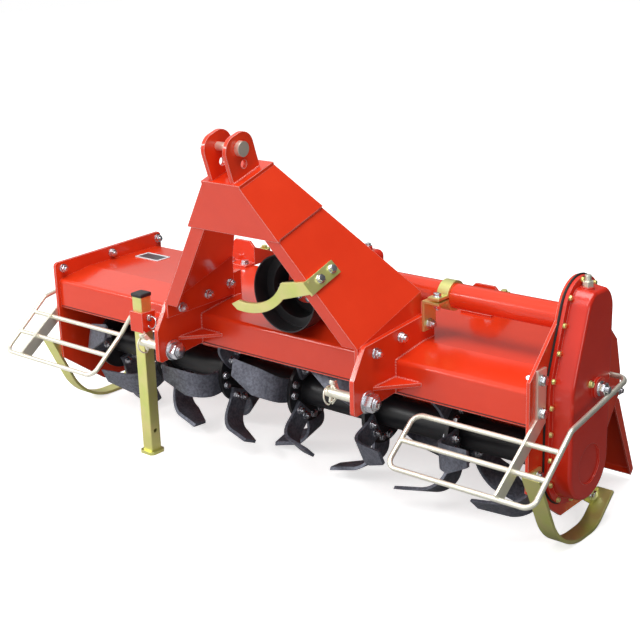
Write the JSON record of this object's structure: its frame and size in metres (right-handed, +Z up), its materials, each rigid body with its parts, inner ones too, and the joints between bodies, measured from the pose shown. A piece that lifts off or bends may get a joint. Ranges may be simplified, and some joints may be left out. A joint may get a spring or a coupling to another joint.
{
  "type": "rotary tiller",
  "caption": "Three-point rotary tiller with a gear-driven tined rotor, hinged rear board, parking stand, skids and rod guards.",
  "frame": {"origin": "middle of the machine's box, on the ground that it parks on", "axes": "+X across to the gear case, +Y back from the hitch to the rear board, +Z up"},
  "size_m": [1.696, 0.731, 0.899],
  "materials": {
    "red_paint": "gloss",
    "yellow_zinc": "yellow zinc plate",
    "steel": "machined",
    "black_paint": "satin",
    "black_plastic": "satin",
    "gasket": "matte"
  },
  "bodies": {
    "frame": {"deck": "red_paint", "side_plate_left": "red_paint", "side_plate_right": "red_paint", "case_gasket": "gasket", "gear_case": "red_paint", "case_plug": "yellow_zinc", "drive_tube": "red_paint", "tube_clamp": "yellow_zinc", "gearbox": "red_paint", "gearbox_cover": "red_paint", "bearing_cap": "red_paint", "pto_shield": "black_plastic", "hitch_plate_left": "red_paint", "hitch_plate_right": "red_paint", "lower_pin_left": "yellow_zinc", "lower_pin_right": "yellow_zinc", "mast_leg_left": "red_paint", "mast_leg_right": "red_paint", "mast_cap": "red_paint", "ear_left": "red_paint", "ear_right": "red_paint", "top_pin": "yellow_zinc", "pto_hook": "yellow_zinc", "stand_sleeve": "red_paint", "guard_left": "yellow_zinc", "guard_right": "yellow_zinc", "skid_left": "yellow_zinc", "skid_right": "yellow_zinc", "rotor_bearing": "red_paint", "hinge_rod": "steel", "rod_bracket_left": "red_paint", "rod_bracket_right": "red_paint"},
    "pto": {"pto_shaft": "steel"},
    "stand": {"stand_leg": "yellow_zinc", "stand_foot": "yellow_zinc", "stand_cap": "black_plastic"},
    "rotor": {"rotor_shaft": "black_paint", "tines_left_hand": "black_paint", "tines_right_hand": "black_paint"},
    "rear_board": {"tailgate": "red_paint"},
    "rod_left": {"tailgate_rod_left": "yellow_zinc"},
    "rod_right": {"tailgate_rod_right": "yellow_zinc"}
  },
  "joints": [
    {"name": "rotor_spin", "type": "hinge", "parent": "frame", "child": "rotor", "pos_m": [0, 0.00879, 0.19], "axis": [1, 0, 0], "continuous": true},
    {"name": "pto_spin", "type": "hinge", "parent": "frame", "child": "pto", "pos_m": [0.1, -0.15921, 0.503], "axis": [0, -1, 0], "continuous": true},
    {"name": "tailgate_hinge", "type": "hinge", "parent": "frame", "child": "rear_board", "pos_m": [0, 0.23079, 0.28], "axis": [1, 0, 0], "range_deg": [0, 60]},
    {"name": "rod_left_pivot", "type": "hinge", "parent": "rear_board", "child": "rod_left", "pos_m": [-0.4, 0.34127, 0.16233], "axis": [1, 0, 0], "range_deg": [-30, 0]},
    {"name": "rod_right_pivot", "type": "hinge", "parent": "rear_board", "child": "rod_right", "pos_m": [0.4, 0.34127, 0.16233], "axis": [1, 0, 0], "range_deg": [-30, 0]},
    {"name": "stand_slide", "type": "slide", "parent": "frame", "child": "stand", "axis": [0, 0, 1], "range_m": [0, 0.31]}
  ],
  "couplings": [
    {"joint": "pto_spin", "follows": "rotor_spin", "ratio": 2.5},
    {"joint": "rod_left_pivot", "follows": "tailgate_hinge", "ratio": -0.4797},
    {"joint": "rod_right_pivot", "follows": "tailgate_hinge", "ratio": -0.4797}
  ]
}
